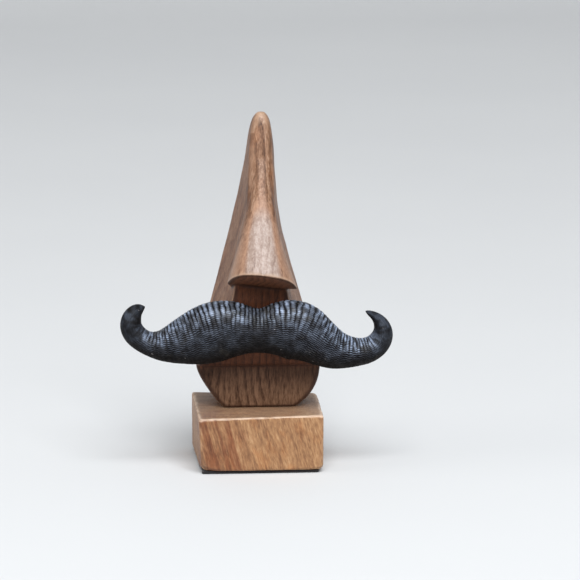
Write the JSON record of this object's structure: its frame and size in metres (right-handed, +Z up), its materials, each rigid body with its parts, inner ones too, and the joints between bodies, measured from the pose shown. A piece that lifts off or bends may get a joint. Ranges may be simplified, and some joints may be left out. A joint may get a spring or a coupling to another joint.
{
  "type": "eyeglasses display stand",
  "caption": "Free-standing carved wooden nose on a block base, with a dark curled moustache under it; spectacles rest on the bridge of the nose.",
  "frame": {"origin": "centre of the felt underside, on the surface the stand rests on", "axes": "+Z up; the face looks along -Y; +X is to the right as seen from the front"},
  "size_m": [0.1266, 0.0547, 0.165],
  "materials": {
    "felt": "pressed felt",
    "base_wood": "oiled, satin",
    "face_wood": "oiled and waxed, satin",
    "blackened_wood": "black stain under a satin wax, carved ribs",
    "dowel_wood": "bare",
    "screw_steel": "zinc plated"
  },
  "bodies": {
    "root": {"felt_pad": "felt", "base_block": "base_wood", "face_block": "face_wood", "moustache": "blackened_wood", "moustache_dowel_left": "dowel_wood", "moustache_dowel_right": "dowel_wood", "base_screw_left": "screw_steel", "base_screw_right": "screw_steel"}
  },
  "joints": []
}
